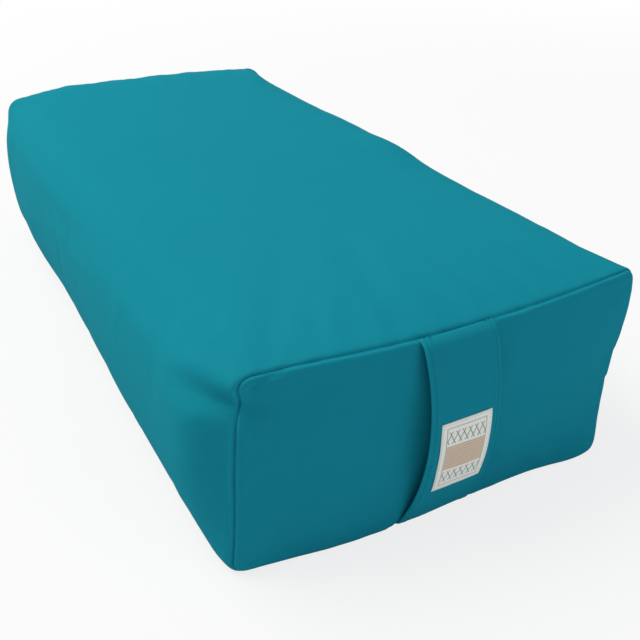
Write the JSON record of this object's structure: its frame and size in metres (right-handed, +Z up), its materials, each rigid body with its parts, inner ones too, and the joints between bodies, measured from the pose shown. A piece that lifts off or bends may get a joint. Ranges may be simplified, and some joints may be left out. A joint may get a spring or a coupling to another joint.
{
  "type": "rectangular yoga bolster",
  "caption": "Rectangular stuffed yoga bolster with crowned sides, a zipped cotton cover, a sewn-in strap handle on one end, and a foam and batting core.",
  "frame": {"origin": "centre of the whole object's box, on the surface that the bolster lies on", "axes": "+X across the bolster towards the zipped side, +Y along it from the handle end to the plain end, +Z up"},
  "size_m": [0.3416, 0.688, 0.161],
  "materials": {
    "cover_canvas": "plain-weave cotton canvas, matt teal",
    "woven_label": null,
    "zip_tape": "woven polyester tape, teal",
    "zip_coil": "moulded nylon coil, teal",
    "zip_metal": "satin nickel",
    "liner_cotton": "unbleached cotton",
    "cotton_batting": "soft cotton batting",
    "core_foam": "open-cell foam, cream"
  },
  "bodies": {
    "root": {"cover_wrap": "cover_canvas", "cover_front_panel": "cover_canvas", "cover_rear_panel": "cover_canvas", "handle_upper_tail": "cover_canvas", "handle_lower_tail": "cover_canvas", "zip_tape_upper": "zip_tape", "zip_tape_lower": "zip_tape", "zip_coil_upper": "zip_coil", "zip_coil_lower": "zip_coil", "zip_top_stop": "zip_metal", "zip_bottom_stop": "zip_metal", "liner_wrap": "liner_cotton", "liner_front_panel": "liner_cotton", "liner_rear_panel": "liner_cotton", "batting_sleeve": "cotton_batting", "batting_front_pad": "cotton_batting", "batting_rear_pad": "cotton_batting", "foam_slab_lower": "core_foam", "foam_slab_upper": "core_foam"},
    "handle": {"handle_grip": "cover_canvas", "handle_label": "woven_label"},
    "slider": {"zip_slider": "zip_metal"},
    "pull_tab": {"zip_pull": "zip_metal"}
  },
  "joints": [
    {"name": "handle_lift", "type": "slide", "parent": "root", "child": "handle", "axis": [0, -1, 0], "range_m": [0, 0.025], "deforming": ["handle_upper_tail", "handle_lower_tail"]},
    {"name": "zip_slide", "type": "slide", "parent": "root", "child": "slider", "axis": [0, 1, 0], "range_m": [0, 0.3864]},
    {"name": "pull_swing", "type": "hinge", "parent": "slider", "child": "pull_tab", "pos_m": [0.16885, -0.1866, 0.075], "axis": [0, 0, -1], "range_deg": [0, 180]}
  ]
}
